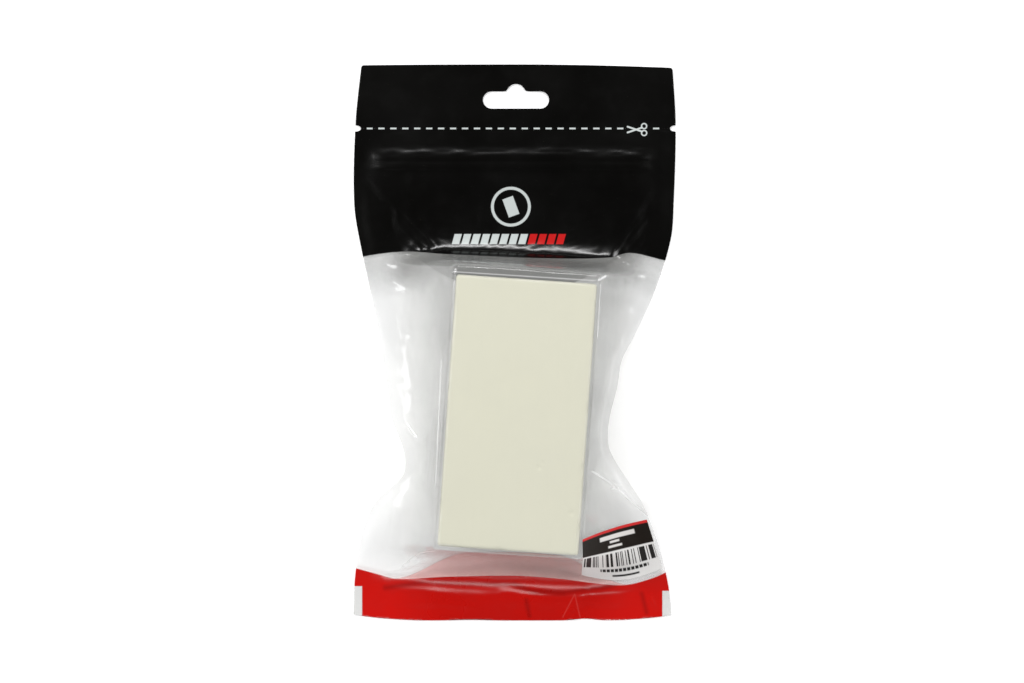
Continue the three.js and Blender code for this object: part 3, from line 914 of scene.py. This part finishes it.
def zip_material():
    """Extruded zip plastic: dark, satin, with fine draw lines along its length."""
    material, tree, principled = shader("zip_plastic")
    lines = texture(tree, 900.0, 2.0, stretch=(0.03, 1, 1))
    colour = mix_colour(tree, lines, (0.012, 0.012, 0.012), (0.03, 0.03, 0.03))
    fill_sockets(tree, principled, {"Base Color": colour, "Roughness": lines * 0.2 + 0.25})
    return material


# ---- pieces ----
def slot_radius(angle):
    """Distance from the slot's centre to its edge: a round-ended bar and a round bump, smoothly joined."""
    c, s = np.cos(angle), np.sin(angle)
    reach = SLOT_HALF_WIDTH - SLOT_HALF_HEIGHT
    flat = SLOT_HALF_HEIGHT / np.maximum(np.abs(s), 1e-6)
    ended = reach * np.abs(c) + np.sqrt(np.maximum(SLOT_HALF_HEIGHT**2 - (reach * s) ** 2, 0))
    bar = np.where(flat * np.abs(c) <= reach, flat, ended)
    inside_bump = SLOT_BUMP_RADIUS**2 - (SLOT_BUMP_RISE * c) ** 2
    round_bump = SLOT_BUMP_RISE * s + np.sqrt(inside_bump)
    return np.logaddexp(bar * 1.6, round_bump * 1.6) / 1.6


def header_outline(count):
    """The header's edge as a closed ring of points, evenly spaced, anticlockwise from its right foot."""
    right, left = right_at(HEAD_Y), left_at(HEAD_Y)
    top_at = lambda x: HEAD_Y - np.where(x < 0, HEAD_BOW_LEFT, HEAD_BOW_RIGHT) * (x / HALF_WIDTH) ** 2
    turn = np.linspace(0, np.pi / 2, 8)[1:-1]

    def side(edge_at, x_end):
        """One side, from the tear line past the notch to the start of the round corner."""
        notch = np.linspace(TEAR_Y, TEAR_Y + NOTCH_HALF, 14)[:-1]
        y = np.concatenate([notch, np.linspace(TEAR_Y + NOTCH_HALF, top_at(x_end) - HEAD_CORNER, 20)])
        return np.stack([edge_at(y), y], 1)

    def corner(x_end, outward):
        x = x_end - outward * HEAD_CORNER * (1 - np.cos(turn))
        return np.stack([x, top_at(x_end) - HEAD_CORNER * (1 - np.sin(turn))], 1)

    top = np.linspace(right - HEAD_CORNER, left + HEAD_CORNER, 40)
    foot = np.linspace(left_at(TEAR_Y), right_at(TEAR_Y), 60)[1:]
    sides = [
        side(right_at, right), corner(right, 1), np.stack([top, top_at(top)], 1),
        corner(left, -1)[::-1], side(left_at, left)[::-1],
    ]  # fmt: skip
    ring = np.concatenate([*sides, np.stack([foot, np.full_like(foot, TEAR_Y)], 1)])
    run = np.concatenate([[0], np.cumsum(np.hypot(*np.diff(ring, axis=0).T))])
    even = np.linspace(0, run[-1], count, endpoint=False)
    left_foot = run[sum(map(len, sides)) - 1]
    even[np.abs(even - left_foot).argmin()] = left_foot
    return np.stack([np.interp(even, run, ring[:, k]) for k in (0, 1)], 1)


def make_header(name, z, materials):
    """A film with the slot in it: straight lines from the slot's edge to the outline, ring by ring."""
    outline = header_outline(520)
    spoke = outline - SLOT_CENTRE
    angle = np.arctan2(spoke[:, 1], spoke[:, 0])
    inner = SLOT_CENTRE + slot_radius(angle)[:, None] * np.stack([np.cos(angle), np.sin(angle)], 1)
    share = with_holding_lines(np.linspace(0, 1, 44) ** 1.2, 0.002)[:, None, None]
    rings = inner * (1 - share) + outline * share
    x, y = rings[..., 0], rings[..., 1]
    fade = smoothstep(TEAR_Y, TEAR_Y + 8, y)
    height = z + fade * (0.2 + 0.15 * noise(x, y, 30, 31))
    points = np.stack([x, y, height], -1).reshape(-1, 3)
    faces = grid_faces(*x.shape, around=True)[:, ::-1]
    piece = add_film_mesh(name, points, faces)
    thicken(piece, FILM, materials=materials)
    return piece


# On the block's upper face, as (place across, place along, size, depth).
BLOCK_DENTS = [
    (11, -22, 0.9, 0.35), (12.4, -20, 0.6, 0.25), (26.4, -41, 1.0, 0.4), (24, -38, 0.5, 0.2),
    (-20, 33, 0.5, 0.2),
]  # fmt: skip


def make_block():
    """The chalk block: a box whose edges are rounded by clamping each point to an inner box and
    pushing it out by the edge radius, with slight waves, dents and worn edges."""
    half = np.array([*BLOCK_HALF, (BLOCK_TOP - BLOCK_BASE) / 2])
    counts = np.array([92, 176, 58])
    radius = 1.3
    points, faces, start = [], [], 0
    for axis in range(3):
        a, b = (axis + 1) % 3, (axis + 2) % 3
        for side in (-1, 1):
            s, t = np.meshgrid(*(np.linspace(-1, 1, counts[k] + 1) for k in (a, b)), indexing="ij")
            patch = np.zeros((*s.shape, 3))
            patch[..., axis], patch[..., a], patch[..., b] = side, s, t
            points.append((patch * half).reshape(-1, 3))
            quads = grid_faces(*s.shape)
            faces.append(start + (quads[:, ::-1] if side > 0 else quads))
            start += s.size
    points = np.concatenate(points)
    core = np.clip(points, radius - half, half - radius)
    outward = points - core
    outward /= np.linalg.norm(outward, axis=1)[:, None]
    rounded = core + radius * outward
    edge = smoothstep(1.0, 1.35, np.abs(outward).sum(1))
    x, y, z = rounded.T
    worn = np.clip(noise(x + 2 * z, y - z, 5, 41) + 0.4 * noise(x - z, y + 2 * z, 2, 42) - 0.25, 0, 1)
    waves = 0.10 * noise(x, y / 4, 9, 43) + 0.05 * noise(x * 1.7, y / 9, 2.2, 44)
    dents = sum(
        depth * np.exp(-((x - dx) ** 2 + (y - dy) ** 2) / size**2) * (z > 0)
        for dx, dy, size, depth in BLOCK_DENTS
    )
    rounded = rounded - outward * (0.05 + edge * worn * 0.45 + np.abs(waves) * 0.6 + dents)[:, None]
    turned = rounded[:, :1] * CROSSWISE + rounded[:, 1:2] * LENGTHWISE
    placed = np.column_stack([turned + BLOCK_CENTRE, rounded[:, 2] + (BLOCK_BASE + BLOCK_TOP) / 2])
    piece = add_mesh("chalk_block_pressed", placed, np.concatenate(faces))
    # Weights for the painted highlight on the chalk's rounded edges.
    add_attribute(piece, "edge", edge * (0.5 + 0.5 * noise(x, y, 6, 45)))
    weld_doubles(piece)
    piece.data.materials.append(chalk_material())
    return piece


def weld_doubles(piece):
    weld = piece.modifiers.new("weld", "WELD")
    weld.merge_threshold = 0.02 * MM
    apply_modifiers(piece)


def swept_strip(name, profile, material):
    """A closed profile of (y, z) points carried along the zip, crushed towards its ends, which are closed."""
    profile = np.array(profile, float)
    x = np.linspace(ZIP_LOW[0], ZIP_HIGH[0], 90)[:, None]
    z = ZIP_BASE + (profile[:, 1] - ZIP_BASE) * zip_crush(x)
    points = np.stack([x + 0 * z, profile[:, 0] + 0 * z, z], -1).reshape(-1, 3)
    last = (len(x) - 1) * len(profile)
    ring = list(range(len(profile)))
    faces = grid_faces(len(x), len(profile), around=True).tolist()
    mesh = bpy.data.meshes.new(name)
    mesh.from_pydata((points * MM).tolist(), [], [*faces, ring[::-1], [last + k for k in ring]])
    piece = add_object(name, mesh)
    bevel = piece.modifiers.new("soft edges", "BEVEL")
    bevel.width, bevel.segments = 0.05 * MM, 2
    apply_modifiers(piece)
    piece.data.materials.append(material)
    return piece


def make_zip_strips(material):
    """The rib with its round bead, and the groove with two hooked walls that the bead snaps between."""
    rib_y, flange = 81.0, 0.22
    low_y, high_y = ZIP_LOW[1], ZIP_HIGH[1]
    low_flat, high_flat = ZIP_SECTION[1][0], ZIP_SECTION[2][0]
    floor = ZIP_BASE + flange
    level = lambda y: float(np.interp(y, *np.array(ZIP_SECTION).T))
    turn = np.linspace(0.2 * np.pi, -1.2 * np.pi, 12)
    bead = [(rib_y + 0.3 * math.cos(a), floor + 0.36 + 0.3 * math.sin(a)) for a in turn]
    over = [(y, level(y)) for y in (low_y, low_flat, high_flat, high_y)]
    under = [(y, z - flange) for y, z in reversed(over)]
    neck = level(rib_y) - flange
    rib = [*over, *under[:2], (rib_y + 0.17, neck), *bead, (rib_y - 0.17, neck), *under[2:]]
    wall_top = level(rib_y) - flange - 0.08
    wall = [(1.3, floor), (1.3, wall_top - 0.1), (1.15, wall_top), (0.75, wall_top), (0.5, wall_top - 0.15)]
    wall = [*wall, (0.62, wall_top - 0.3), (0.75, floor)]
    groove = [
        (low_y, ZIP_BASE), (low_y, floor),
        *((rib_y - y, z) for y, z in wall), *((rib_y + y, z) for y, z in wall[::-1]),
        (high_y, floor), (high_y, ZIP_BASE),
    ]  # fmt: skip
    return swept_strip("zip_rib", rib, material), swept_strip("zip_groove", groove, material)


LABEL_CORNERS = np.array([[29.6, -85.6], [59.2, -79.2], [66.4, -101.5], [30.0, -104.0]])
LABEL_BULGE = 4.0
LABEL_RISE = 0.12  # so that the thickened label clears the film


def make_label(film):
    """The label: a patch between its four corners, its lower edge bowed, dropped on to the film."""
    across, down = (with_holding_lines(np.linspace(0, 1, count), 0.003) for count in (100, 72))
    u, v = np.meshgrid(across, down, indexing="ij")
    a, b, c, d = LABEL_CORNERS[..., None, None]
    place = (a * (1 - u) + b * u) * (1 - v) + (d * (1 - u) + c * u) * v
    place[1] -= LABEL_BULGE * np.sin(np.pi * u) * v**2
    points = np.stack([place[0], place[1], np.full_like(u, BLOCK_TOP + 30)], -1).reshape(-1, 3)
    piece = add_mesh("label", points, grid_faces(*u.shape)[:, ::-1], np.stack([u, v], -1).reshape(-1, 2))
    drop = piece.modifiers.new("drop", "SHRINKWRAP")
    drop.target = film
    drop.wrap_method = "PROJECT"
    drop.use_project_z = True
    drop.use_negative_direction, drop.use_positive_direction = True, False
    drop.offset = 0.10 * MM
    smooth = piece.modifiers.new("relax", "SMOOTH")
    smooth.factor, smooth.iterations = 0.5, 3
    apply_modifiers(piece)
    raised = points_of(piece) + (0, 0, LABEL_RISE)
    piece.data.vertices.foreach_set("co", (raised * MM).ravel())
    thicken(piece, 0.1, 1.0)
    piece.data.materials.append(label_material())
    return piece


def hold_seams(piece):
    """Keeps the welded sides shut as the mouth opens: the share that follows the mouth falls off
    towards both sides as a parabola."""
    x, y = points_of(piece)[:, :2].T
    half = (right_at(y) - left_at(y)) / 2
    middle = (right_at(y) + left_at(y)) / 2
    bow = np.clip(1 - ((x - middle) / np.maximum(half - SIDE_SEAL, 1)) ** 2, 0, 1)
    share = np.zeros(len(x))
    layer = piece.data.attributes["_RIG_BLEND"]
    layer.data.foreach_get("value", share)
    layer.data.foreach_set("value", (share * bow).astype(np.float32))


# ---- the assembly ----
FRONT_OUTSIDE = film_material("printed_film_front", front=True)
BACK_OUTSIDE = film_material("printed_film_back")
INSIDE = film_material("printed_film_inside", inner=True)
back_film = make_film(
    "back_film_sheet", back_film_surface(), (INSIDE, BACK_OUTSIDE), BACK_BLACK_SAG, BACK_RED_SAG
)
front_film = make_film("front_film", front_film_surface(), (FRONT_OUTSIDE, INSIDE))
label = make_label(front_film)
header_front = make_header("header_front", SEAM_Z + WELD / 2, (FRONT_OUTSIDE, INSIDE))
header_back = make_header("header_back", SEAM_Z - WELD / 2, (INSIDE, BACK_OUTSIDE))
block = make_block()
zip_rib, zip_groove = make_zip_strips(zip_material())

for piece, body, node, slot in (
    (back_film, "pouch", "back_film", "clear_film"),
    (label, "pouch", "price_label", "label_paper"),
    (zip_groove, "pouch", "zip_groove_strip", "zip_plastic"),
    (header_front, "tear_off_header", "header_front_film", "black_film"),
    (header_back, "tear_off_header", "header_back_film", "black_film"),
    (block, "block", "chalk_block", "chalk"),
):
    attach(piece, body)
    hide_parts(node)

for piece, nodes, slot in (
    (front_film, ("front_window_film", "front_mouth_film"), "clear_film"),
    (zip_rib, ("zip_rib_strip",), "zip_plastic"),
):
    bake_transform(piece, "pouch", "mouth", start=(0, MOUTH_FOLD_Y * MM, 0), end=(0, ZIP_LOW[1] * MM, 0))
    hold_seams(piece)
    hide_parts(*nodes)


# ---- the stage ----
def make_floor():
    mesh = bpy.data.meshes.new("floor")
    size = 3.0
    corners = [(-size, -size, 0), (size, -size, 0), (size, size, 0), (-size, size, 0)]
    mesh.from_pydata(corners, [], [(0, 1, 2, 3)])
    floor = add_object("floor", mesh)
    material, tree, principled = shader("floor_white")
    fill_sockets(tree, principled, {
        "Base Color": (0.92, 0.92, 0.92),
        "Roughness": 0.9,
        "Specular IOR Level": 0.1,
        "Emission Color": (1, 1, 1),
        "Emission Strength": 0.20,
    })  # fmt: skip
    mesh.materials.append(material)


def add_light(name, place, size, power):
    """A rectangular soft light at a place, aimed at the middle of the pouch."""
    light = bpy.data.lights.new(name, "AREA")
    light.shape = "RECTANGLE"
    light.size, light.size_y = size
    light.energy = power
    holder = add_object(name, light)
    holder.location = place
    holder.rotation_euler = Vector(place).to_track_quat("Z", "Y").to_euler()


def make_world():
    """Dim to the pouch, so that flat black film stays black, and pale where the camera sees it."""
    world = bpy.data.worlds.new("studio")
    world.use_nodes = True
    tree = world.node_tree
    seen = tree.nodes.new("ShaderNodeBackground")
    fill_sockets(tree, seen, {"Color": (0.95, 0.95, 0.95)})
    dim = next(n for n in tree.nodes if n.type == "BACKGROUND")
    fill_sockets(tree, dim, {"Color": (1, 1, 1), "Strength": 0.03})
    path = tree.nodes.new("ShaderNodeLightPath")
    mix = tree.nodes.new("ShaderNodeMixShader")
    output = next(n for n in tree.nodes if n.type == "OUTPUT_WORLD")
    tree.links.new(path.outputs["Is Camera Ray"], mix.inputs["Fac"])
    tree.links.new(dim.outputs[0], mix.inputs[1])
    tree.links.new(seen.outputs[0], mix.inputs[2])
    tree.links.new(mix.outputs[0], output.inputs["Surface"])
    bpy.context.scene.world = world


def make_camera():
    """Straight above the pouch, with the hang slot up."""
    height = 1.1
    frame_width = 0.4608
    camera = bpy.data.cameras.new("camera")
    camera.sensor_width = 36.0
    camera.lens = 36.0 * height / frame_width
    holder = add_object("camera", camera)
    holder.location = (-0.0011, 0.0004, height)
    bpy.context.scene.camera = holder


make_floor()
make_world()
make_camera()
add_light("key_left", (-0.95, 0.25, 0.75), (0.3, 0.8), 10.8)
add_light("fill_right", (0.95, 0.15, 0.7), (0.3, 0.8), 7.2)
add_light("top", (0.0, 0.95, 0.75), (0.8, 0.15), 9.0)
add_light("foot", (0.0, -0.95, 0.75), (1.0, 0.3), 5.2)
bpy.context.scene.view_settings.view_transform = "Standard"
